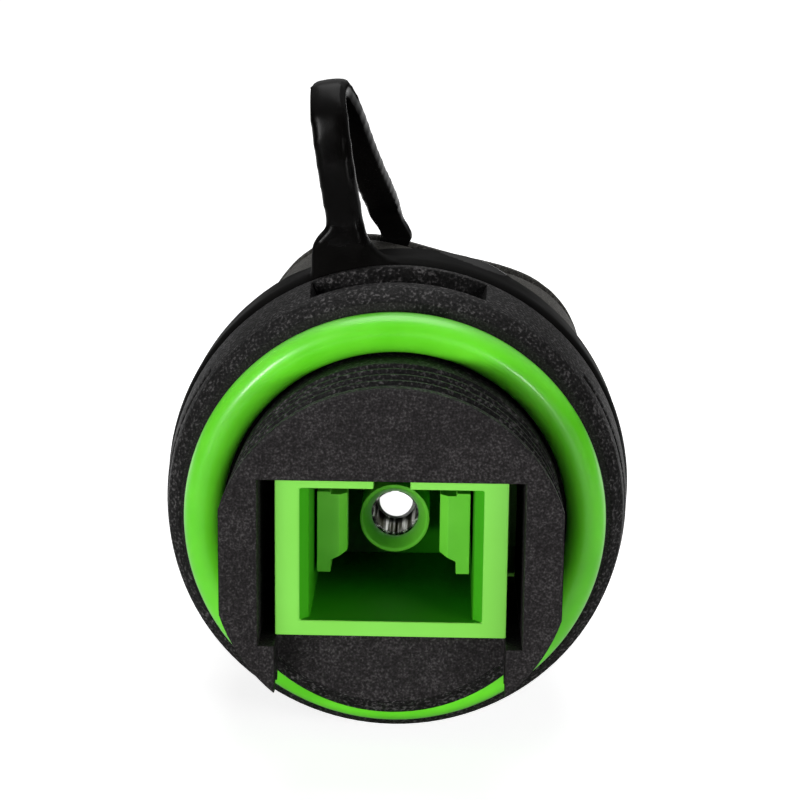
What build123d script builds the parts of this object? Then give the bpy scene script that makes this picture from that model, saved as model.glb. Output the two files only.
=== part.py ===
"""Outdoor fibre connector: a sealed panel adapter with a green angled SC port and a capped outer port.

The connector's axis is Y. The port that shows faces -Y, the dust cap is at +Y and +Z is up.
The origin is on the axis, in the plane of the flange's panel face. All sizes are in millimetres.
"""

from build123d import *
from math import cos, hypot, radians, sin
import os

os.makedirs("parts", exist_ok=True)

# Threaded barrel that goes through the panel
barrel_length = 10.0
barrel_wall = 1.21
flat_depth = 0.475
thread_pitch = 1.5
thread_depth = 0.85
thread_lead_in = 0.7
thread_run_out = 1.9
groove_mouth = 0.42
groove_root = 0.08
barrel_edge = 0.15

# Window in the barrel's face, and the cut-out below it
window_clearance = 0.18
cutout_inset = 0.9
cutout_depth = 2.86

# Flange, with pockets at the top and bottom of its rim and a groove round each side
seal_margin = 1.05
flange_flare = 0.55
flange_bow = 0.12
flange_thickness = 5.4
flange_edge = 0.7
front_rim = 1.5
rear_rim = 0.6
pocket_depth = 1.0
pocket_angle = 44.0
side_groove_start = 1.55
side_groove_width = 0.5
side_groove_depth = 0.5
side_groove_angle = 73.0

# Neck that the tether ring sits on, with its retaining bead
neck_step = 1.3
ring_width = 5.45
ring_gap = 0.15
bead_height = 0.45
bead_width = 0.6

# Nose of the outer port
nose_wall = 1.5
nose_lip = 0.7
nose_edge = 0.3

# Panel seal
seal_section_r = 1.25
seal_gap = 0.1
seal_lift = 0.02

# Port shells of the adapter core
shell_width = 12.8
shell_height = 9.04
shell_recess = 1.33
front_shell_length = 14.27
rear_shell_length = 11.6
port_side_wall = 1.85
port_top_wall = 0.59
port_bottom_wall = 0.88
lead_in_width = 0.55
lead_in_depth = 0.65
recess_side_wall = 0.75
recess_top_wall = 0.32
keyway_width = 2.0
keyway_length = 7.5
collar_width = 2.5
collar_height = 12.0
collar_land = 1.065
collar_clearance = 0.2
collar_gap = 0.1
rib_thickness = 0.8
rib_height = 4.0
rib_setback = 9.0

# Latch inserts
insert_base = 1.4
prong_gap = 0.17
prong_thickness = 0.78
prong_height = 4.8
prong_tip_depth = 4.87
hook_reach = 0.95
hook_length = 1.5
hook_drop = 0.72
hook_rise = 0.15
hook_edge = 0.45
hook_slope = 0.47
boss_wall = 0.4
boss_length = 5.0
boss_flare = 0.45
boss_mouth_depth = 0.95
boss_lip = 0.35
lip_clearance = 0.15

# Alignment sleeve
sleeve_bore_r = 1.25
sleeve_wall = 0.35
sleeve_slit = 0.4
sleeve_gap = 0.05

# Retaining ring behind the core
retainer_gap = 0.115
retainer_width = 2.0
spanner_slot = 1.6

# Dust cap, with its gasket and sleeve plug
cap_thread_room = 0.5
cap_wall = 1.5
cap_lobe_dip = 1.4
cap_lobes = 5
cap_lobe_phase = 40.0
cap_gap = 0.25
cap_edge = 0.45
gasket_thickness = 0.8
gasket_inset = 0.4
cap_groove_wall = 0.9
groove_width = 2.3
groove_depth = 2.1
cap_end_wall = 1.0
plug_clearance = 0.02
plug_reach = 2.5
plug_seat = 2.2
plug_tip_edge = 0.23

# Cap tether
ring_clearance = 0.1
ring_edge = 0.35
ring_shoulder = 1.1
tether_ring_wall = 2.3
cap_loop_wall = 1.95
loop_gap = 0.05
strap_width = 2.15
strap_thickness = 1.05
strap_rise = 10.0
strap_sections = 17
strap_foot_x = -3.25
strap_top_x = -4.45
strap_end_x = -1.05
strap_roll = 7.5
strap_yaw = 9.0
strap_root_slant = 0.3
near_bend_start = 2.1
near_bend_x = -4.25
near_bend_run = 0.15
top_setback = 2.0
far_bend_run = 1.5
far_bend_drop = 0.75
far_bend_x = -4.1
elbow_setback = 0.8
elbow_rise = 2.4
loop_sink = 0.9
foot_left = 5.35
foot_right = 0.2
foot_rise = 1.75
foot_shoulder = -0.1
foot_flare = 0.35
foot_round = 0.4
foot_thickness = 1.5
foot_sink = 0.1

# Clearances between fitted pieces, and how far a cutting shape stands clear of what it cuts
fit_gap = 0.05
overcut = 1.0

# Radii and widths worked out from the sizes above, from the core outwards
core_corner_r = hypot(shell_width / 2, shell_height / 2)
window_width = shell_width + 2 * rib_thickness + 2 * fit_gap
window_height = shell_height + 2 * window_clearance
cutout_width = window_width - 2 * cutout_inset
barrel_r = hypot(window_width / 2, window_height / 2) + barrel_wall
flat_distance = barrel_r - flat_depth
seal_inner_r = barrel_r + seal_gap
flange_r = seal_inner_r + 2 * seal_section_r + seal_margin
flange_rear_r = flange_r + flange_flare
collar_r = core_corner_r + collar_land
retainer_bore_r = core_corner_r + retainer_gap
nose_bore_r = collar_r + collar_clearance
nose_r = nose_bore_r + nose_wall
neck_r = nose_r + neck_step
neck_ring_r = neck_r + ring_clearance
tether_outer_r = neck_ring_r + tether_ring_wall
cap_bore_r = nose_r + cap_thread_room
cap_lobe_r = cap_bore_r + cap_wall + cap_lobe_dip
gasket_bore_r = nose_bore_r + gasket_inset
groove_r = cap_bore_r + cap_wall - groove_depth
loop_outer_r = groove_r + loop_gap + cap_loop_wall
sleeve_outer_r = sleeve_bore_r + sleeve_wall
boss_r = sleeve_outer_r + fit_gap + boss_wall
boss_lip_r = sleeve_bore_r + lip_clearance
boss_mouth_r = boss_lip_r + boss_flare
plug_r = sleeve_bore_r - plug_clearance
port_width = shell_width - 2 * port_side_wall
port_height = shell_height - port_top_wall - port_bottom_wall
port_rise = (port_bottom_wall - port_top_wall) / 2
port_floor = port_bottom_wall - shell_height / 2
lead_in_x = port_width / 2 + lead_in_width
insert_width = shell_width - 2 * recess_side_wall - 2 * fit_gap
insert_height = shell_height - 2 * recess_top_wall - 2 * fit_gap
prong_outer = port_width / 2 - prong_gap
prong_inner = prong_outer - prong_thickness
hook_bottom = prong_height / 2 - hook_drop
hook_top = prong_height / 2 - hook_rise

# Places along the axis worked out from the sizes above
face = -barrel_length
shell_face = face + shell_recess
shell_mid = shell_face + front_shell_length
shell_end = shell_mid + rear_shell_length
core_collar = shell_mid - collar_width
shoulder = core_collar - collar_gap
boss_tip = insert_base + boss_length
sleeve_half = boss_tip - boss_mouth_depth - boss_lip - sleeve_gap
ring_start = flange_thickness + ring_gap
neck_end = ring_start + ring_width + ring_gap
bead_end = neck_end + bead_width
nose_end = shell_end + nose_lip
cap_front = bead_end + cap_gap
gasket_end = nose_end + gasket_thickness
plug_tip = shell_mid - plug_reach
plug_end = gasket_end + plug_seat
groove_start = gasket_end + cap_groove_wall
loop_start = groove_start + loop_gap
loop_width = groove_width - 2 * loop_gap
loop_middle = groove_start + groove_width / 2
cap_end = groove_start + groove_width + cap_end_wall


def ring_section(inner_r, outer_r, start, end):
    """Section of a plain ring about the connector's axis, drawn beside the axis."""
    with BuildSketch(Plane.XY, mode=Mode.PRIVATE) as section:
        with Locations(((inner_r + outer_r) / 2, (start + end) / 2)):
            Rectangle(outer_r - inner_r, end - start)
    return section.sketch


def across_axis(distance):
    """Plane square to the connector's axis, with x to the right and y up as seen from the port."""
    return Plane(origin=(0, distance, 0), x_dir=(1, 0, 0), z_dir=(0, -1, 0))


# Housing: threaded barrel, flange, neck and nose in one moulding
thread_room = barrel_length - thread_lead_in - thread_run_out
thread_turns = int(thread_room / thread_pitch)
first_groove = face + thread_lead_in + thread_pitch / 2
thread_groove = [
    (0, -thread_pitch * groove_mouth),
    (-thread_depth, -thread_pitch * groove_root),
    (-thread_depth, thread_pitch * groove_root),
    (0, thread_pitch * groove_mouth),
    (thread_depth, 0),
]

with BuildPart() as housing:
    with BuildSketch(Plane.XY):
        with BuildLine():
            Polyline(
                (0, face),
                (barrel_r - barrel_edge, face),
                (barrel_r, face + barrel_edge),
                (barrel_r, 0),
                (flange_r - flange_edge, 0),
                (flange_r, flange_edge),
            )
            ThreePointArc(
                (flange_r, flange_edge),
                ((flange_r + flange_rear_r) / 2 + flange_bow, (flange_edge + flange_thickness) / 2),
                (flange_rear_r, flange_thickness),
            )
            Polyline(
                (flange_rear_r, flange_thickness),
                (neck_r, flange_thickness),
                (neck_r, neck_end),
                (neck_r + bead_height, neck_end + bead_width / 2),
                (neck_r, bead_end),
                (nose_r, bead_end),
                (nose_r, nose_end - nose_edge),
                (nose_r - nose_edge, nose_end),
                (0, nose_end),
                (0, face),
            )
        make_face()
    revolve(axis=Axis.Y)
    with BuildSketch(Plane.XY):
        with Locations(*[(barrel_r, first_groove + turn * thread_pitch) for turn in range(thread_turns)]):
            Polygon(*thread_groove, align=None)
    revolve(axis=Axis.Y, mode=Mode.SUBTRACT)
    with BuildSketch(across_axis(0)):
        with Locations((2 * flat_distance, 0), (-2 * flat_distance, 0)):
            Rectangle(2 * flat_distance, 2 * barrel_r + overcut)
    extrude(amount=barrel_length, mode=Mode.SUBTRACT)
    with BuildSketch(across_axis(shoulder)):
        Rectangle(window_width, window_height)
    extrude(amount=shoulder - face, mode=Mode.SUBTRACT)
    with BuildSketch(across_axis(face + cutout_depth)):
        with Locations((0, -barrel_r)):
            Rectangle(cutout_width, 2 * barrel_r - window_height)
    extrude(amount=cutout_depth, mode=Mode.SUBTRACT)
    revolve(ring_section(0, nose_bore_r, shoulder, nose_end), axis=Axis.Y, mode=Mode.SUBTRACT)
    for middle in (90, 270):
        with BuildSketch(Plane.XY.rotated((0, -middle + pocket_angle / 2, 0))):
            with Locations((flange_rear_r, (front_rim + flange_thickness - rear_rim) / 2)):
                Rectangle(2 * (flange_flare + pocket_depth), flange_thickness - rear_rim - front_rim)
        revolve(axis=Axis.Y, revolution_arc=-pocket_angle, mode=Mode.SUBTRACT)
    for middle in (0, 180):
        with BuildSketch(Plane.XY.rotated((0, -middle + side_groove_angle / 2, 0))):
            with Locations((flange_rear_r, side_groove_start + side_groove_width / 2)):
                Rectangle(2 * (flange_flare + side_groove_depth), side_groove_width)
        revolve(axis=Axis.Y, revolution_arc=-side_groove_angle, mode=Mode.SUBTRACT)
housing.part.label = "housing"
export_step(housing.part, "parts/housing.step")

# Panel seal: round section ring that lies on the flange's panel face
with BuildPart() as panel_seal:
    with BuildSketch(Plane.XY):
        with Locations((seal_inner_r + seal_section_r, -seal_section_r - seal_lift)):
            Circle(seal_section_r)
    revolve(axis=Axis.Y)
panel_seal.part.label = "panel_seal"
export_step(panel_seal.part, "parts/panel_seal.step")

# Front port shell: the green frame of the port, open to the core's middle plane
with BuildPart() as port_shell_front:
    with BuildSketch(across_axis(shell_mid)):
        Rectangle(shell_width, shell_height)
    extrude(amount=shell_mid - shell_face)
    with BuildSketch(across_axis(shell_mid)):
        Circle(collar_r)
        Rectangle(2 * collar_r, collar_height, mode=Mode.INTERSECT)
    extrude(amount=collar_width)
    with BuildSketch(across_axis(core_collar)):
        for side in (-1, 1):
            with Locations((side * (shell_width + rib_thickness) / 2, 0)):
                Rectangle(rib_thickness, rib_height)
    extrude(amount=core_collar - shell_face - rib_setback)
    with BuildSketch(across_axis(shell_mid)):
        with Locations((0, port_rise)):
            Rectangle(port_width, port_height)
    extrude(amount=shell_mid - shell_face, mode=Mode.SUBTRACT)
    for side in (-1, 1):
        with BuildSketch(Plane.XY.offset(port_floor)):
            with BuildLine():
                Polyline(
                    (side * port_width / 2, shell_face),
                    (side * lead_in_x, shell_face),
                    (side * port_width / 2, shell_face + lead_in_depth),
                    close=True,
                )
            make_face()
        extrude(amount=port_height, mode=Mode.SUBTRACT)
    with BuildSketch(across_axis(shell_mid)):
        Rectangle(insert_width + 2 * fit_gap, insert_height + 2 * fit_gap)
    extrude(amount=insert_base + fit_gap, mode=Mode.SUBTRACT)
    with BuildSketch(across_axis(shell_face + keyway_length)):
        with Locations((0, shell_height / 2)):
            Rectangle(keyway_width, shell_height - port_height)
    extrude(amount=keyway_length, mode=Mode.SUBTRACT)
port_shell_front.part.label = "port_shell_front"
export_step(port_shell_front.part, "parts/port_shell_front.step")

# Rear port shell: the shorter half of the core, towards the outer port
with BuildPart() as port_shell_rear:
    with BuildSketch(across_axis(shell_end)):
        Rectangle(shell_width, shell_height)
    extrude(amount=rear_shell_length)
    with BuildSketch(across_axis(shell_mid + collar_width)):
        Circle(collar_r)
        Rectangle(2 * collar_r, collar_height, mode=Mode.INTERSECT)
    extrude(amount=collar_width)
    with BuildSketch(across_axis(shell_end)):
        with Locations((0, port_rise)):
            Rectangle(port_width, port_height)
    extrude(amount=rear_shell_length, mode=Mode.SUBTRACT)
    for side in (-1, 1):
        with BuildSketch(Plane.XY.offset(port_floor)):
            with BuildLine():
                Polyline(
                    (side * port_width / 2, shell_end),
                    (side * lead_in_x, shell_end),
                    (side * port_width / 2, shell_end - lead_in_depth),
                    close=True,
                )
            make_face()
        extrude(amount=port_height, mode=Mode.SUBTRACT)
    with BuildSketch(across_axis(shell_mid + insert_base + fit_gap)):
        Rectangle(insert_width + 2 * fit_gap, insert_height + 2 * fit_gap)
    extrude(amount=insert_base + fit_gap, mode=Mode.SUBTRACT)
    with BuildSketch(across_axis(shell_end)):
        with Locations((0, shell_height / 2)):
            Rectangle(keyway_width, shell_height - port_height)
    extrude(amount=keyway_length, mode=Mode.SUBTRACT)
port_shell_rear.part.label = "port_shell_rear"
export_step(port_shell_rear.part, "parts/port_shell_rear.step")

# Front latch insert: base plate with two hooked prongs and the boss that holds the sleeve
prong_root = shell_mid - insert_base
prong_tip = shell_face + prong_tip_depth

with BuildPart() as latch_insert_front:
    with BuildSketch(across_axis(shell_mid)):
        Rectangle(insert_width, insert_height)
    extrude(amount=insert_base)
    with BuildSketch(across_axis(prong_root)):
        for side in (-1, 1):
            with Locations((side * (prong_outer + prong_inner) / 2, 0)):
                Rectangle(prong_thickness, prong_height)
    extrude(amount=prong_root - prong_tip)
    for side in (-1, 1):
        with BuildSketch(Plane.XY.offset(-hook_bottom)):
            with BuildLine():
                Polyline(
                    (side * prong_inner, prong_tip),
                    (side * (prong_inner - hook_reach + hook_edge), prong_tip),
                    (side * (prong_inner - hook_reach), prong_tip + hook_edge),
                    (side * (prong_inner - hook_reach), prong_tip + hook_length),
                    (side * prong_inner, prong_tip + hook_length),
                    close=True,
                )
            make_face()
        extrude(amount=hook_bottom + hook_top)
        with BuildSketch(across_axis(prong_tip + hook_length)):
            with BuildLine():
                Polyline(
                    (side * prong_inner, -hook_bottom),
                    (side * (prong_inner - hook_reach), hook_slope - hook_bottom),
                    (side * (prong_inner - hook_reach), -hook_bottom),
                    close=True,
                )
            make_face()
        extrude(amount=hook_length, mode=Mode.SUBTRACT)
    with BuildSketch(across_axis(prong_root)):
        Circle(boss_r)
    extrude(amount=boss_length)
    with BuildSketch(Plane.XY):
        with BuildLine():
            Polyline(
                (0, shell_mid),
                (sleeve_outer_r + fit_gap, shell_mid),
                (sleeve_outer_r + fit_gap, shell_mid - sleeve_half - sleeve_gap),
                (boss_lip_r, shell_mid - sleeve_half - sleeve_gap),
                (boss_lip_r, shell_mid - boss_tip + boss_mouth_depth),
                (boss_mouth_r, shell_mid - boss_tip),
                (0, shell_mid - boss_tip),
                close=True,
            )
        make_face()
    revolve(axis=Axis.Y, mode=Mode.SUBTRACT)
latch_insert_front.part.label = "latch_insert_front"
export_step(latch_insert_front.part, "parts/latch_insert_front.step")

# Rear latch insert: the same moulding turned to face the outer port
with BuildPart() as latch_insert_rear:
    mirror(latch_insert_front.part, about=Plane.XZ.offset(-shell_mid))
latch_insert_rear.part.label = "latch_insert_rear"
export_step(latch_insert_rear.part, "parts/latch_insert_rear.step")

# Alignment sleeve: split tube held between the two bosses
with BuildPart() as alignment_sleeve:
    revolve(
        ring_section(sleeve_bore_r, sleeve_outer_r, shell_mid - sleeve_half, shell_mid + sleeve_half),
        axis=Axis.Y,
    )
    with BuildSketch(across_axis(shell_mid + sleeve_half)):
        with Locations((0, sleeve_outer_r)):
            Rectangle(sleeve_slit, sleeve_outer_r)
    extrude(amount=2 * sleeve_half, mode=Mode.SUBTRACT)
alignment_sleeve.part.label = "alignment_sleeve"
export_step(alignment_sleeve.part, "parts/alignment_sleeve.step")

# Core retainer: ring behind the core's collars, with two spanner slots
retainer_start = shell_mid + collar_width
with BuildPart() as core_retainer:
    revolve(
        ring_section(retainer_bore_r, nose_bore_r - fit_gap, retainer_start, retainer_start + retainer_width),
        axis=Axis.Y,
    )
    with BuildSketch(across_axis(retainer_start + retainer_width)):
        Rectangle(2 * nose_bore_r + overcut, spanner_slot)
    extrude(amount=retainer_width / 2, mode=Mode.SUBTRACT)
core_retainer.part.label = "core_retainer"
export_step(core_retainer.part, "parts/core_retainer.step")

# Dust cap: lobed screw cap with a groove for the tether's loop
lobe_steps = 6 * cap_lobes
lobe_points = []
for step in range(lobe_steps):
    turn = radians(step * 360 / lobe_steps)
    lobe_r = cap_lobe_r - cap_lobe_dip / 2 * (1 - cos(cap_lobes * (turn - radians(cap_lobe_phase))))
    lobe_points.append((lobe_r * cos(turn), lobe_r * sin(turn)))

with BuildPart() as dust_cap:
    with BuildSketch(across_axis(cap_end)):
        with BuildLine():
            Spline(*lobe_points, periodic=True)
        make_face()
    extrude(amount=cap_end - cap_front)
    chamfer(dust_cap.edges().group_by(Axis.Y)[0], cap_edge)
    chamfer(dust_cap.edges().group_by(Axis.Y)[-1], cap_edge)
    revolve(ring_section(0, cap_bore_r, cap_front, gasket_end), axis=Axis.Y, mode=Mode.SUBTRACT)
    revolve(
        ring_section(groove_r, cap_lobe_r + overcut, groove_start, groove_start + groove_width),
        axis=Axis.Y,
        mode=Mode.SUBTRACT,
    )
    revolve(ring_section(0, plug_r, gasket_end, plug_end), axis=Axis.Y, mode=Mode.SUBTRACT)
dust_cap.part.label = "dust_cap"
export_step(dust_cap.part, "parts/dust_cap.step")

# Cap gasket: flat washer in the bottom of the cap, against the nose's end
with BuildPart() as cap_gasket:
    revolve(ring_section(gasket_bore_r, cap_bore_r - fit_gap, nose_end, gasket_end), axis=Axis.Y)
cap_gasket.part.label = "cap_gasket"
export_step(cap_gasket.part, "parts/cap_gasket.step")

# Sleeve plug: pin seated in the cap, which closes the alignment sleeve from the rear
with BuildPart() as sleeve_plug:
    revolve(ring_section(0, plug_r, plug_tip, plug_end), axis=Axis.Y)
    chamfer(sleeve_plug.edges().group_by(Axis.Y)[0], plug_tip_edge)
sleeve_plug.part.label = "sleeve_plug"
export_step(sleeve_plug.part, "parts/sleeve_plug.step")

# Cap tether: ring on the neck, arched strap and the loop that sits in the cap's groove, in one soft moulding
near_leg = ring_start + strap_thickness / 2
far_leg = loop_middle
strap_top = tether_outer_r + strap_rise
top_middle = near_leg + top_setback
foot_top = tether_outer_r + foot_rise
foot_corner = tether_outer_r + foot_shoulder
foot_base = neck_ring_r + foot_sink
strap_end = loop_outer_r - loop_sink
far_bend = Vector(far_bend_x, top_middle + far_bend_run, strap_top - far_bend_drop)
elbow = Vector(strap_end_x, far_leg - elbow_setback, strap_end + elbow_rise)
across_strap = Vector(1, 0, 0).rotate(Axis.Y, -strap_roll).rotate(Axis.Z, -strap_yaw)


def strap_plane(arch_line, along):
    """Plane square to the strap at a share of its length, with the strap's width kept in one direction."""
    heading = arch_line % along
    width_line = across_strap - heading * heading.dot(across_strap)
    return Plane(origin=arch_line @ along, x_dir=width_line, z_dir=heading)


with BuildPart() as cap_tether:
    revolve(ring_section(neck_ring_r, tether_outer_r, ring_start, ring_start + ring_width), axis=Axis.Y)
    fillet(cap_tether.edges().group_by(Axis.Y)[-1], ring_edge)
    fillet(cap_tether.edges().group_by(Axis.Y)[0].sort_by(SortBy.RADIUS)[-1], ring_shoulder)
    fillet(cap_tether.edges().group_by(Axis.Y)[0].sort_by(SortBy.RADIUS)[0], ring_edge)
    revolve(
        ring_section(groove_r + loop_gap, loop_outer_r, loop_start, loop_start + loop_width),
        axis=Axis.Y,
    )
    loop_corners = cap_tether.edges().filter_by(GeomType.CIRCLE).filter_by_position(
        Axis.Y, loop_start - fit_gap, loop_start + loop_width + fit_gap
    )
    fillet(loop_corners, ring_edge)
    with BuildSketch(across_axis(ring_start + foot_thickness)):
        with BuildLine():
            Line((-foot_left, foot_base), (-foot_left, foot_corner))
            SagittaArc((-foot_left, foot_corner), (strap_foot_x - strap_width / 2, foot_top), foot_flare)
            Line((strap_foot_x - strap_width / 2, foot_top), (strap_foot_x + strap_width / 2, foot_top))
            SagittaArc((strap_foot_x + strap_width / 2, foot_top), (-foot_right, foot_corner), -foot_round)
            Line((-foot_right, foot_corner), (-foot_right, foot_base))
            Line((-foot_right, foot_base), (-foot_left, foot_base))
        make_face()
    extrude(amount=foot_thickness)
    with BuildLine() as arch:
        Spline(
            (strap_foot_x + strap_root_slant, near_leg, foot_corner),
            (strap_foot_x, near_leg, foot_top),
            (near_bend_x, near_leg + near_bend_run, strap_top - near_bend_start),
            (strap_top_x, top_middle, strap_top),
            far_bend,
            (far_bend + elbow) / 2,
            elbow,
            (strap_end_x, far_leg, strap_end),
            tangents=[(-strap_root_slant, 0, foot_top - foot_corner), (0, 0.15, -1)],
        )
    for step in range(strap_sections):
        along = step / (strap_sections - 1)
        with BuildSketch(strap_plane(arch.edges()[0], along)):
            Rectangle(strap_width, strap_thickness)
    loft()
cap_tether.part.label = "cap_tether"
export_step(cap_tether.part, "parts/cap_tether.step")
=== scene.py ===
"""Looks of the outdoor fibre connector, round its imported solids, in metres and in the part's own frame."""

from math import cos, pi, radians, sin

import bmesh
import bpy
from mathutils import Matrix, Vector


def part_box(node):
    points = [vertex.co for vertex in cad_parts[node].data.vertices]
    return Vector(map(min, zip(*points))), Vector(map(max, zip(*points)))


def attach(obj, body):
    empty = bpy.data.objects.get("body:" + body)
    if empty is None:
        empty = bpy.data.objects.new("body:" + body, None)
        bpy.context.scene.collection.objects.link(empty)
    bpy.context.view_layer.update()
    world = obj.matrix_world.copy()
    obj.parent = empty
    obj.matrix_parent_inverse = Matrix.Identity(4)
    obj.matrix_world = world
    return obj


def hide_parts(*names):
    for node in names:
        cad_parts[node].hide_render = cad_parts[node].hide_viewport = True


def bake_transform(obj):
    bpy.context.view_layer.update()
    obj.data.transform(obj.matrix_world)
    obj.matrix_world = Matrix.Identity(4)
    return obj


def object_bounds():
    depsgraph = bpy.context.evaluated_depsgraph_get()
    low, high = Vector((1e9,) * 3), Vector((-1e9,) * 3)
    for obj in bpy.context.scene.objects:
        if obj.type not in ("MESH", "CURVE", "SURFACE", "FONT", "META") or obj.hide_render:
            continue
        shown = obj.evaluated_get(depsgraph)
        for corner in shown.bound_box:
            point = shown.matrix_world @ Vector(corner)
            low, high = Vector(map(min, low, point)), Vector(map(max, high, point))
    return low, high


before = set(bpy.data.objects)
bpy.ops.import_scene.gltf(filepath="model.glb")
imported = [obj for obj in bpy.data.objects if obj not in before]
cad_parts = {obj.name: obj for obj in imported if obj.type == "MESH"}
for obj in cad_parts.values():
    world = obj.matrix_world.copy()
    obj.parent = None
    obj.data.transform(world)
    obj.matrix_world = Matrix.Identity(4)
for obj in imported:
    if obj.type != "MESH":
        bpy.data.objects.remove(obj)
solids_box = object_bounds()
scene = bpy.context.scene


# Housing: one moulding of glass-filled black nylon, with the threaded double-D barrel, the flange, the neck
# and the nose. The glass shows as a fine pale grain, coarser on the thread and the flange, where the mould is
# rougher, and the outer edges are slightly round. The thread and the flange are also coloured darker all
# over, which is painted shade.
def start_finish(name, colour, roughness):
    """Material with a plain shader, and the piece's own coordinates to lay a pattern on."""
    finish = bpy.data.materials.new(name)
    finish.use_nodes = True
    tree = finish.node_tree
    shader = tree.nodes["Principled BSDF"]
    shader.inputs["Base Color"].default_value = (*colour, 1.0)
    shader.inputs["Roughness"].default_value = roughness
    place = tree.nodes.new("ShaderNodeTexCoord").outputs["Object"]
    return finish, tree, shader, place


def mottle(tree, place, size, detail=2.0, stretch=(1.0, 1.0, 1.0)):
    """Noise whose patches are about this size, drawn out along an axis where the stretch is below one."""
    mapping = tree.nodes.new("ShaderNodeMapping")
    mapping.inputs["Scale"].default_value = stretch
    tree.links.new(place, mapping.inputs["Vector"])
    noise = tree.nodes.new("ShaderNodeTexNoise")
    noise.inputs["Scale"].default_value = 0.5 / size
    noise.inputs["Detail"].default_value = detail
    tree.links.new(mapping.outputs["Vector"], noise.inputs["Vector"])
    return noise.outputs["Fac"]


def shades(tree, shader, amount, stops):
    """Base colour laid along a pattern's amount, given as rising (amount, colour) stops."""
    ramp = tree.nodes.new("ShaderNodeValToRGB")
    for index, (position, colour) in enumerate(stops):
        stop = ramp.color_ramp.elements[index] if index < 2 else ramp.color_ramp.elements.new(position)
        stop.position = position
        stop.color = (*colour, 1.0)
    tree.links.new(amount, ramp.inputs["Fac"])
    tree.links.new(ramp.outputs["Color"], shader.inputs["Base Color"])


def span(tree, amount, low, high, start=0.3, end=0.7):
    """An amount between start and end, spread between a low and a high value."""
    spread = tree.nodes.new("ShaderNodeMapRange")
    spread.inputs["From Min"].default_value = start
    spread.inputs["From Max"].default_value = end
    spread.inputs["To Min"].default_value = low
    spread.inputs["To Max"].default_value = high
    tree.links.new(amount, spread.inputs["Value"])
    return spread.outputs["Result"]


def vary_roughness(tree, shader, amount, low, high):
    """Roughness that follows a pattern's amount."""
    tree.links.new(span(tree, amount, low, high), shader.inputs["Roughness"])


def reckon(tree, operation, *amounts):
    """Amount worked out from others, each of them a plain number or a node's output."""
    result = tree.nodes.new("ShaderNodeMath")
    result.operation = operation
    for socket, amount in zip(result.inputs, amounts):
        if isinstance(amount, float):
            socket.default_value = amount
        else:
            tree.links.new(amount, socket)
    return result.outputs[0]


def relief(tree, shader, height, depth, strength, below=None):
    """Bump of this depth on the shader, laid over an earlier one if given."""
    bump = tree.nodes.new("ShaderNodeBump")
    bump.inputs["Strength"].default_value = strength
    bump.inputs["Distance"].default_value = depth
    tree.links.new(height, bump.inputs["Height"])
    if below is not None:
        tree.links.new(below, bump.inputs["Normal"])
    tree.links.new(bump.outputs["Normal"], shader.inputs["Normal"])
    return bump.outputs["Normal"]


def grainy_nylon(name, dark, pale, speck, grain=0.00006, depth=0.00003):
    """Black nylon with its pale glass grain, over broad patches with more or less of it."""
    broad_patch = 0.0009
    broad_share = 0.22
    broad_depth = 0.00006
    finish, tree, shader, place = start_finish(name, dark, 0.6)
    shader.inputs["Specular IOR Level"].default_value = 0.16
    fine = mottle(tree, place, grain)
    broad = mottle(tree, place, broad_patch, detail=3.0)
    both = reckon(tree, "MULTIPLY_ADD", broad, broad_share, fine)
    shades(tree, shader, both, [(0.46, dark), (0.66, pale), (0.84, speck)])
    vary_roughness(tree, shader, fine, 0.68, 0.46)
    fine_relief = relief(tree, shader, fine, depth, strength=0.5)
    relief(tree, shader, broad, broad_depth, strength=0.25, below=fine_relief)
    return finish


def weld(mesh):
    """Joined-up copy of a solid's loose triangles, with its flat faces whole again."""
    shape = bmesh.new()
    shape.from_mesh(mesh)
    bmesh.ops.remove_doubles(shape, verts=shape.verts, dist=0.000002)
    bmesh.ops.dissolve_limit(
        shape,
        angle_limit=radians(0.15),
        use_dissolve_boundaries=False,
        verts=shape.verts,
        edges=shape.edges,
    )
    return shape


def sharp_edges(shape):
    """Edges at which the surface turns a corner."""
    corner = radians(28.0)
    return [edge for edge in shape.edges if len(edge.link_faces) == 2 and edge.calc_face_angle(0.0) > corner]


def soften(shape, edges, width):
    """Rounds edges as the mould does."""
    bmesh.ops.bevel(
        shape,
        geom=edges,
        offset=width,
        offset_type="OFFSET",
        segments=2,
        profile=0.5,
        material=-1,
        affect="EDGES",
        clamp_overlap=False,
        loop_slide=True,
    )


def settle(shape, name, finish, body):
    """Turns a shape into a piece that rides on its body, smooth but for its corners."""
    corner = radians(32.0)
    for face in shape.faces:
        face.smooth = True
    for edge in shape.edges:
        edge.smooth = len(edge.link_faces) == 2 and edge.calc_face_angle(0.0) < corner
    mesh = bpy.data.meshes.new(name)
    shape.to_mesh(mesh)
    shape.free()
    mesh.materials.clear()
    mesh.materials.append(finish)
    piece = bpy.data.objects.new(name, mesh)
    scene.collection.objects.link(piece)
    even = piece.modifiers.new("even_shading", "WEIGHTED_NORMAL")
    even.keep_sharp = True
    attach(piece, body)
    return piece


def off_axis(point):
    """How far a point lies from the connector's axis."""
    return Vector((point.x, point.z)).length


nylon = grainy_nylon(
    "grainy_black_nylon",
    dark=(0.0075, 0.0066, 0.007),
    pale=(0.0185, 0.0168, 0.0174),
    speck=(0.056, 0.052, 0.053),
)
# Painted shade: a darker copy of the nylon for the thread and the flange, with a coarser grain.
coarse_nylon_painted_shade = grainy_nylon(
    "coarse_black_nylon_painted_shade",
    dark=(0.0016, 0.0015, 0.0015),
    pale=(0.009, 0.0085, 0.0086),
    speck=(0.078, 0.074, 0.075),
    grain=0.00009,
    depth=0.0001,
)

touching = 0.00001
barrel_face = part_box("housing")[0][1]
cutout_back = barrel_face + 0.00286
cutout_back_round = 0.00004
cutout_half = 0.00635
cutout_top = -0.004
flange_rim_r = 0.0126
neck_middle = 0.0083

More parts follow.
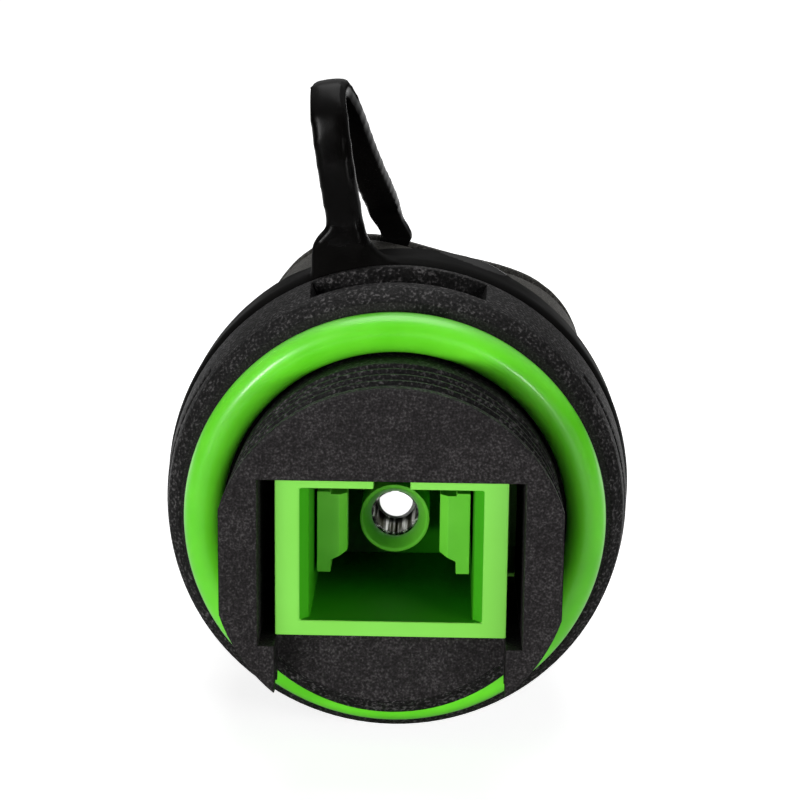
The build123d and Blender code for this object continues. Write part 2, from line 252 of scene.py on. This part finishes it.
shape = weld(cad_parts["housing"].data)
outer_edges = []
for edge in sharp_edges(shape):
    ends = [vert.co for vert in edge.verts]
    on_face = all(abs(end.y - barrel_face) < touching for end in ends)
    on_step = all(abs(end.y - cutout_back) < touching and end.z < cutout_top for end in ends)
    beside_cutout = all(abs(abs(end.x) - cutout_half) < touching for end in ends)
    along_cutout = beside_cutout and all(end.y < cutout_back + cutout_back_round for end in ends)
    on_flange = all(off_axis(end) > flange_rim_r and end.y < neck_middle for end in ends)
    if on_face or on_step or along_cutout or on_flange:
        outer_edges.append(edge)
soften(shape, outer_edges, width=0.00009)
housing_moulding = settle(shape, "housing_moulding", nylon, "housing")
housing_moulding.data.materials.append(coarse_nylon_painted_shade)

thread_inner_r = 0.0088
thread_start = barrel_face + 0.0003
seat_inner_r = 0.0102
seat_start = -0.0002
# The thread and the flange take the darker nylon, painted shade.
for face in housing_moulding.data.polygons:
    out = off_axis(face.center)
    across_axis = abs(face.normal.y) > 0.95
    on_thread = out > thread_inner_r and face.center.y > thread_start and not across_axis
    on_flange = out > seat_inner_r and face.center.y > seat_start
    if on_thread or on_flange:
        face.material_index = 1
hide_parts("housing")


# Nose thread: the coarse rounded thread that the dust cap and the outdoor plug screw on, moulded in one with
# the nose. It runs one and a half turns at 2.5 mm a turn and stands 0.35 mm off the nose.
nose_r = 0.0106
ridge_start = 0.0131
ridge_height = 0.00035
ridge_sink = 0.00012
ridge_half_foot = 0.00055
ridge_half_crest = 0.00022
ridge_pitch = 0.0025
ridge_turns = 1.5
ridge_steps = 108
outline = [
    (-ridge_half_foot, -ridge_sink),
    (-ridge_half_crest, ridge_height),
    (ridge_half_crest, ridge_height),
    (ridge_half_foot, -ridge_sink),
]
shape = bmesh.new()
corners = [shape.verts.new((0.0, ridge_start + along, nose_r + out)) for along, out in outline]
section = shape.faces.new(corners)
bmesh.ops.spin(
    shape,
    geom=[section],
    cent=(0.0, 0.0, 0.0),
    axis=(0.0, 1.0, 0.0),
    dvec=(0.0, ridge_pitch * ridge_turns / ridge_steps, 0.0),
    angle=2 * pi * ridge_turns,
    steps=ridge_steps,
    use_merge=False,
    use_duplicate=False,
)
bmesh.ops.remove_doubles(shape, verts=shape.verts, dist=0.000001)
bmesh.ops.recalc_face_normals(shape, faces=shape.faces)
settle(shape, "nose_thread", nylon, "housing")


# Panel seal: a round-section ring of soft bright green silicone, lying against the flange round the barrel's
# root. It is smooth and a little waxy, so the lamps draw soft streaks on it.
silicone, tree, shader, place = start_finish("green_silicone", (0.13, 0.68, 0.02), 0.34)
cloud = mottle(tree, place, 0.0022, detail=3.0)
shades(tree, shader, cloud, [(0.3, (0.105, 0.62, 0.012)), (0.72, (0.15, 0.74, 0.028))])
vary_roughness(tree, shader, cloud, 0.3, 0.4)
dust = mottle(tree, place, 0.00025)
relief(tree, shader, dust, depth=0.00001, strength=0.25)
shader.inputs["Subsurface Weight"].default_value = 0.06
shader.inputs["Subsurface Scale"].default_value = 0.0006
shader.inputs["Coat Weight"].default_value = 0.35
shader.inputs["Coat Roughness"].default_value = 0.15

seal_low, seal_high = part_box("panel_seal")
seal_slack = 0.0001
seal_sides = 40
seal_steps = 192
seal_section_r = (seal_high[1] - seal_low[1]) / 2 - seal_slack
seal_middle_r = seal_high[0] - seal_section_r - seal_slack
seal_middle = Matrix.Translation((seal_middle_r, seal_high[1] - seal_section_r, 0.0))
shape = bmesh.new()
bmesh.ops.create_circle(shape, cap_ends=False, radius=seal_section_r, segments=seal_sides)
bmesh.ops.transform(shape, matrix=seal_middle, verts=shape.verts)
bmesh.ops.spin(
    shape,
    geom=shape.verts[:] + shape.edges[:],
    cent=(0.0, 0.0, 0.0),
    axis=(0.0, 1.0, 0.0),
    angle=2 * pi,
    steps=seal_steps,
    use_merge=True,
)
bmesh.ops.remove_doubles(shape, verts=shape.verts, dist=0.000001)
bmesh.ops.recalc_face_normals(shape, faces=shape.faces)
seal_ring = settle(shape, "seal_ring", silicone, "housing")
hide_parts("panel_seal")


# Port shells: the two halves of the green adapter core, moulded in lime green polyester and welded together
# at their collars. The front half is the frame that the plug's body slides into. Their inner walls and floor
# are coloured a darker green as painted shade, deepest where the walls see only one another.
def moulded_lime(name, colour, dark, pale, patch, smooth, rough):
    """Lime green polyester with a faint cloud in its colour and the fine matt skin of its mould."""
    finish, tree, shader, place = start_finish(name, colour, (smooth + rough) / 2)
    cloud = mottle(tree, place, patch)
    shades(tree, shader, cloud, [(0.3, dark), (0.7, pale)])
    matt = mottle(tree, place, 0.00012, detail=3.0)
    vary_roughness(tree, shader, matt, smooth, rough)
    relief(tree, shader, matt, depth=0.00001, strength=0.3)
    shader.inputs["Specular IOR Level"].default_value = 0.25
    return finish


def along_axis(tree, place):
    """Where a point lies along the connector's axis."""
    parts = tree.nodes.new("ShaderNodeSeparateXYZ")
    tree.links.new(place, parts.inputs[0])
    return parts.outputs["Y"]


def softened(node, width):
    """Welded copy of a CAD node's solid, with its sharp edges rounded."""
    shape = weld(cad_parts[node].data)
    soften(shape, sharp_edges(shape), width)
    return shape


lime = moulded_lime(
    "lime_polyester",
    (0.205, 0.63, 0.08),
    dark=(0.195, 0.605, 0.072),
    pale=(0.215, 0.655, 0.088),
    patch=0.0030,
    smooth=0.34,
    rough=0.46,
)

core_middle = (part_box("port_shell_front")[0][1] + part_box("port_shell_rear")[1][1]) / 2
# Painted shade for the port's insides: darkest halfway along the core, lighter towards each mouth.
painted_shade_lime, tree, shader, place = start_finish("painted_shade_lime", (0.055, 0.42, 0.01), 0.6)
cloud = mottle(tree, place, 0.0030)
from_middle = reckon(tree, "ABSOLUTE", reckon(tree, "SUBTRACT", along_axis(tree, place), core_middle))
towards_mouth = span(tree, from_middle, 0.0, 1.0, start=0.0045, end=0.0125)
cloud_and_painted_shade = reckon(tree, "MULTIPLY_ADD", cloud, 0.12, towards_mouth)
shades(tree, shader, cloud_and_painted_shade, [(0.1, (0.012, 0.15, 0.003)), (1.0, (0.044, 0.35, 0.009))])
vary_roughness(tree, shader, cloud, 0.55, 0.65)
relief(tree, shader, cloud, depth=0.00002, strength=0.2)
shader.inputs["Specular IOR Level"].default_value = 0.1

inner_half_width = 0.0050
inner_half_height = 0.0042
floor_half_width = 0.0044
mouth_rim = 0.0002
facing_in = -0.0001
for node in ("port_shell_front", "port_shell_rear"):
    shape = softened(node, width=0.00008)
    port_half = settle(shape, node + "_moulding", lime, "housing")
    port_half.data.materials.append(painted_shade_lime)
    low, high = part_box(node)
    # Inner walls and floor behind the mouth's rim take the painted shade.
    for face in port_half.data.polygons:
        across, along, up = face.center
        wall_inside = face.normal.x * across < facing_in
        floor_inside = face.normal.z * up < facing_in and abs(across) < floor_half_width
        within = abs(across) < inner_half_width and abs(up) < inner_half_height
        behind_rim = low[1] + mouth_rim < along < high[1] - mouth_rim
        if (wall_inside or floor_inside) and within and behind_rim:
            face.material_index = 1
    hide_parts(node)


# Latch inserts: a base plate with two hooked prongs that snap behind a plug's shoulders, and the boss that
# holds the sleeve, in the same lime green polyester, coloured a darker, deeper green as painted shade for
# their place deep in the port. The base plate takes the port's painted shade. They are pressed into the
# core's two halves.
# Painted shade: a darker, deeper copy of the lime green.
painted_shade_insert_lime = moulded_lime(
    "painted_shade_insert_lime",
    (0.14, 0.58, 0.04),
    dark=(0.125, 0.55, 0.035),
    pale=(0.155, 0.61, 0.046),
    patch=0.0012,
    smooth=0.36,
    rough=0.48,
)
base_plate = 0.00145
for node in ("latch_insert_front", "latch_insert_rear"):
    shape = softened(node, width=0.00005)
    latch = settle(shape, node + "_moulding", painted_shade_insert_lime, "housing")
    latch.data.materials.append(painted_shade_lime)
    low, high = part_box(node)
    plate_y = high[1] if node == "latch_insert_front" else low[1]
    # The base plate's faces take the port's painted shade.
    for face in latch.data.polygons:
        if abs(face.center.y - plate_y) < base_plate:
            face.material_index = 1
    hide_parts(node)


# Alignment sleeve: a split tube of drawn bronze, nickel plated, which grips both plugs' ferrules. Drawing
# leaves fine lines along it. Their colour runs from near black to near white, which paints dark and bright
# streaks of reflection into the metal.
plated, tree, shader, place = start_finish("drawn_nickel", (0.2, 0.2, 0.19), 0.24)
shader.inputs["Metallic"].default_value = 1.0
shader.inputs["Specular Tint"].default_value = (0.32, 0.32, 0.3, 1.0)
drawn_lines_and_streaks = mottle(tree, place, 0.00016, detail=3.0, stretch=(1.0, 0.03, 1.0))
# Painted reflection: near black and near white streaks in the metal's colour.
dark_line_and_painted_shade = (0.012, 0.012, 0.011)
line_grey = (0.1, 0.102, 0.096)
bright_line_and_painted_highlight = (0.85, 0.86, 0.83)
shades(tree, shader, drawn_lines_and_streaks, [(0.4, dark_line_and_painted_shade), (0.52, line_grey), (0.62, bright_line_and_painted_highlight)])
vary_roughness(tree, shader, drawn_lines_and_streaks, 0.16, 0.3)
relief(tree, shader, drawn_lines_and_streaks, depth=0.00001, strength=0.35)
shape = softened("alignment_sleeve", width=0.00004)
sleeve_tube = settle(shape, "sleeve_tube", plated, "housing")
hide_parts("alignment_sleeve")


# Core retainer: the nylon ring screwed in behind the core's collars, with two slots for a pin spanner.
shape = softened("core_retainer", width=0.00009)
retaining_ring = settle(shape, "retaining_ring", nylon, "housing")
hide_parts("core_retainer")


# Dust cap: the lobed screw cap of the outer port, moulded in the same grainy nylon, coloured a shade greyer
# all over as painted light for the light raking over its lobes.
# Painted light: a lighter copy of the housing's nylon.
cap_nylon_painted_light = grainy_nylon(
    "grainy_cap_nylon_painted_light",
    dark=(0.024, 0.023, 0.0205),
    pale=(0.060, 0.058, 0.052),
    speck=(0.135, 0.131, 0.121),
)
shape = softened("dust_cap", width=0.00012)
screw_cap = settle(shape, "screw_cap", cap_nylon_painted_light, "cap")
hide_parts("dust_cap")


# Cap gasket: a flat washer cut from black rubber sheet, pressed into the bottom of the cap.
rubber, tree, shader, place = start_finish("gasket_rubber", (0.02, 0.02, 0.02), 0.7)
bloom = mottle(tree, place, 0.0004, detail=4.0)
shades(tree, shader, bloom, [(0.3, (0.012, 0.012, 0.012)), (0.75, (0.04, 0.039, 0.037))])
relief(tree, shader, bloom, depth=0.00002, strength=0.4)
shape = softened("cap_gasket", width=0.00008)
washer = settle(shape, "washer", rubber, "cap")
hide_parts("cap_gasket")


# Sleeve plug: a smooth white acetal pin pressed into the cap, which keeps dirt out of the sleeve. The flat
# face of its tip glows as painted light, the bright disc seen down the bore.
acetal, tree, shader, place = start_finish("white_acetal", (0.9, 0.9, 0.88), 0.35)
haze = mottle(tree, place, 0.0004)
shades(tree, shader, haze, [(0.3, (0.88, 0.88, 0.86)), (0.7, (0.93, 0.93, 0.92))])
relief(tree, shader, haze, depth=0.00001, strength=0.15)

glowing_tip, tree, shader, place = start_finish("glowing_acetal_tip", (0.93, 0.93, 0.92), 0.3)
haze = mottle(tree, place, 0.0003)
shades(tree, shader, haze, [(0.3, (0.91, 0.91, 0.9)), (0.7, (0.95, 0.95, 0.94))])
relief(tree, shader, haze, depth=0.00001, strength=0.1)
# Painted light: the tip's flat face glows, though it is no lamp.
shader.inputs["Emission Color"].default_value = (1.0, 1.0, 1.0, 1.0)
shader.inputs["Emission Strength"].default_value = 0.95

shape = softened("sleeve_plug", width=0.00003)
pin = settle(shape, "acetal_pin", acetal, "cap")
pin.data.materials.append(glowing_tip)
tip_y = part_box("sleeve_plug")[0][1]
# Only the tip's flat face takes the glow.
for face in pin.data.polygons:
    if abs(face.center.y - tip_y) < 0.000005 and face.normal.y < -0.9:
        face.material_index = 1
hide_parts("sleeve_plug")


# Cap tether: ring, strap and loop in one soft black elastomer. The ring is stretched over the neck's bead and
# stays there, the loop lies in the cap's groove, and every corner between them runs out in a fillet. The
# strap is glossy, and the ring, its foot and the loop are rubbed dull.
def moulded_elastomer(name, colour, dark, pale, patch, smooth, rough, gloss, stretch=(1.0, 1.0, 1.0)):
    """Black elastomer with faint flow marks."""
    finish, tree, shader, place = start_finish(name, colour, (smooth + rough) / 2)
    shader.inputs["Specular IOR Level"].default_value = gloss
    flow = mottle(tree, place, patch, detail=3.0, stretch=stretch)
    shades(tree, shader, flow, [(0.3, dark), (0.75, pale)])
    vary_roughness(tree, shader, flow, smooth, rough)
    relief(tree, shader, mottle(tree, place, 0.00022), depth=0.00001, strength=0.2)
    return finish


def share(value, start, end):
    """How far a value has got from start to end, between zero and one."""
    return min(max((value - start) / (end - start), 0.0), 1.0)


def even_out(shape, verts, rounds):
    """Takes the steps out of a remeshed surface."""
    for _ in range(rounds):
        bmesh.ops.smooth_vert(
            shape, verts=verts, factor=0.5, use_axis_x=True, use_axis_y=True, use_axis_z=True
        )


elastomer = moulded_elastomer(
    "black_elastomer",
    (0.0014, 0.0013, 0.0012),
    dark=(0.0009, 0.0008, 0.0008),
    pale=(0.0022, 0.002, 0.0019),
    patch=0.0016,
    smooth=0.2,
    rough=0.3,
    gloss=0.09,
    stretch=(1.0, 1.0, 0.6),
)
rubbed = moulded_elastomer(
    "rubbed_elastomer",
    (0.0028, 0.0026, 0.0025),
    dark=(0.0018, 0.0017, 0.0016),
    pale=(0.004, 0.0038, 0.0036),
    patch=0.0012,
    smooth=0.44,
    rough=0.56,
    gloss=0.02,
)

shape = weld(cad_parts["cap_tether"].data)
bmesh.ops.triangulate(shape, faces=shape.faces)
mesh = bpy.data.meshes.new("tether_moulding")
shape.to_mesh(mesh)
shape.free()
tether = bpy.data.objects.new("tether_moulding", mesh)
scene.collection.objects.link(tether)
bpy.context.view_layer.objects.active = tether
whole = tether.modifiers.new("one_moulding", "REMESH")
whole.mode = "VOXEL"
whole.voxel_size = 0.0002
bpy.ops.object.modifier_apply(modifier=whole.name)

strap_bottom = 0.0152
strap_swell = 0.00007
swell_low = 0.0145
swell_high = 0.0160
shape = bmesh.new()
shape.from_mesh(tether.data)
even_out(shape, shape.verts, 7)
even_out(shape, [vert for vert in shape.verts if vert.co.z > strap_bottom], 6)
shape.normal_update()
for vert in shape.verts:
    vert.co += vert.normal * strap_swell * share(vert.co.z, swell_low, swell_high)

# The far leg leans as in the photograph, and its foot stands in the middle of the cap's groove.
upper_lean = 0.00025
foot_lean = 0.0005
foot_setback = 0.0004
foot_area_start = 0.0165
for vert in shape.verts:
    on_far_leg = share(vert.co.y, 0.0075, 0.0100)
    above_loop = share(vert.co.z, 0.0125, 0.0135)
    low_down = share(vert.co.z, 0.0150, 0.0138)
    high_up = share(vert.co.z, 0.0155, 0.0195)
    vert.co.x += on_far_leg * above_loop * (upper_lean * high_up + foot_lean * low_down)
    if vert.co.y > foot_area_start:
        vert.co.y += foot_setback * above_loop * share(vert.co.z, 0.0165, 0.0153)
for face in shape.faces:
    face.smooth = True
shape.to_mesh(tether.data)
shape.free()
tether.data.materials.clear()
tether.data.materials.append(elastomer)
tether.data.materials.append(rubbed)

ring_r = 0.01435
ring_back = 0.0125
foot_front = 0.0075
foot_right = 0.0008
loop_front = 0.0175
loop_top = 0.0135
for face in tether.data.polygons:
    x, y, z = face.center
    on_ring = y < ring_back and off_axis(face.center) < ring_r
    on_foot = y < foot_front and x < foot_right and z < strap_bottom
    on_loop = y > loop_front and z < loop_top
    if on_ring or on_foot or on_loop:
        face.material_index = 1
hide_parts("cap_tether")
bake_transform(tether)


# Table: the plain white sweep that the connector lies on. It shows white to the camera, a little less under
# the connector, and glossy faces see it bright only behind the connector.
def shown_white(tree):
    """Light Path, and an amount that is one for what is seen directly or through glass."""
    path = tree.nodes.new("ShaderNodeLightPath")
    seen = reckon(tree, "MAXIMUM", path.outputs["Is Camera Ray"], path.outputs["Is Transmission Ray"])
    return path, seen


table_half = 3.0
table_top = Matrix.Translation((0.0, 0.0, solids_box[0][2]))
shape = bmesh.new()
bmesh.ops.create_grid(shape, x_segments=1, y_segments=1, size=table_half)
bmesh.ops.transform(shape, matrix=table_top, verts=shape.verts)
mesh = bpy.data.meshes.new("table")
shape.to_mesh(mesh)
shape.free()
table = bpy.data.objects.new("table", mesh)
scene.collection.objects.link(table)

paper, tree, shader, place = start_finish("white_paper", (0.8, 0.8, 0.8), 0.9)
shader.inputs["Specular IOR Level"].default_value = 0.1
shader.inputs["Emission Color"].default_value = (1.0, 1.0, 1.0, 1.0)
fibre = mottle(tree, place, 0.004, detail=3.0)
shades(tree, shader, fibre, [(0.3, (0.78, 0.78, 0.78)), (0.7, (0.82, 0.82, 0.82))])
path, seen = shown_white(tree)
from_middle = tree.nodes.new("ShaderNodeVectorMath")
from_middle.operation = "LENGTH"
tree.links.new(place, from_middle.inputs[0])
outward = span(tree, from_middle.outputs["Value"], 0.84, 1.0, start=0.02, end=0.12)
seen_glow = reckon(tree, "MULTIPLY", seen, outward)
behind = span(tree, along_axis(tree, place), 0.0, 0.9, start=0.0, end=0.08)
mirrored_glow = reckon(tree, "MULTIPLY", path.outputs["Is Glossy Ray"], behind)
tree.links.new(reckon(tree, "MAXIMUM", seen_glow, mirrored_glow), shader.inputs["Emission Strength"])
mesh.materials.append(paper)


# Studio: white for the camera in every direction, a bright sweep above and behind the connector for its
# glossy faces, and dim elsewhere. Three soft lamps light it, and two small ones only show in its gloss.
room_light = 0.04
world = bpy.data.worlds.new("studio")
scene.world = world
world.use_nodes = True
tree = world.node_tree
backdrop = tree.nodes["Background"]
backdrop.inputs["Color"].default_value = (1.0, 1.0, 1.0, 1.0)
path, seen = shown_white(tree)
sweep = tree.nodes.new("ShaderNodeVectorMath")
sweep.operation = "DOT_PRODUCT"
sweep.inputs[1].default_value = (0.0, 0.3, 0.95)
tree.links.new(tree.nodes.new("ShaderNodeTexCoord").outputs["Generated"], sweep.inputs[0])
mirrored = tree.nodes.new("ShaderNodeMix")
mirrored.data_type = "FLOAT"
mirrored.inputs[2].default_value = room_light
tree.links.new(path.outputs["Is Glossy Ray"], mirrored.inputs[0])
rearward = span(tree, sweep.outputs["Value"], 0.03, 0.8, start=0.35, end=0.95)
tree.links.new(rearward, mirrored.inputs[3])
tree.links.new(reckon(tree, "MAXIMUM", mirrored.outputs[0], seen), backdrop.inputs["Strength"])


def soft_lamp(name, place, width, height, power, lights=True, mirrored=True):
    """Soft box turned towards the connector, which lights matt faces or shows in glossy ones, or both."""
    lamp_data = bpy.data.lights.new(name, "AREA")
    lamp_data.shape = "RECTANGLE"
    lamp_data.size = width
    lamp_data.size_y = height
    lamp_data.energy = power
    lamp = bpy.data.objects.new(name, lamp_data)
    lamp.visible_diffuse = lights
    lamp.visible_glossy = mirrored
    lamp.location = place
    lamp.rotation_euler = (-Vector(place)).to_track_quat("-Z", "Y").to_euler()
    scene.collection.objects.link(lamp)


soft_lamp("key_lamp", (-0.33, -0.51, 0.014), width=0.40, height=0.05, power=3.2, mirrored=False)
soft_lamp("top_lamp", (0.0, 0.10, 0.60), width=0.45, height=0.45, power=1.8)
soft_lamp("right_lamp", (0.44, -0.36, 0.10), width=0.30, height=0.06, power=1.6, mirrored=False)
soft_lamp("left_sheen", (-0.36, -0.41, 0.23), width=0.08, height=0.16, power=1.5, lights=False)
soft_lamp("right_sheen", (0.17, -0.57, 0.05), width=0.05, height=0.06, power=0.35, lights=False)


# Camera: level with the photograph's, a little above the axis and to its right, looking into the green port.
camera_place = (0.002403, -0.1136, 0.03322)
turn = radians(-1.1)
tilt = radians(13.02)
roll = radians(0.645)
ahead = Vector((sin(turn) * cos(tilt), cos(turn) * cos(tilt), -sin(tilt)))
right = Vector((cos(turn), -sin(turn), 0.0))
above = right.cross(ahead)
across = right * cos(roll) + above * sin(roll)
upright = above * cos(roll) - right * sin(roll)
camera_data = bpy.data.cameras.new("photo_camera")
camera_data.lens = 90.0
camera_data.sensor_width = 36.0
camera_data.clip_start = 0.01
camera_data.clip_end = 20.0
camera = bpy.data.objects.new("photo_camera", camera_data)
scene.collection.objects.link(camera)
camera_turn = Matrix((across, upright, -ahead)).transposed().to_4x4()
camera.matrix_world = Matrix.Translation(camera_place) @ camera_turn
scene.camera = camera
scene.view_settings.view_transform = "Standard"
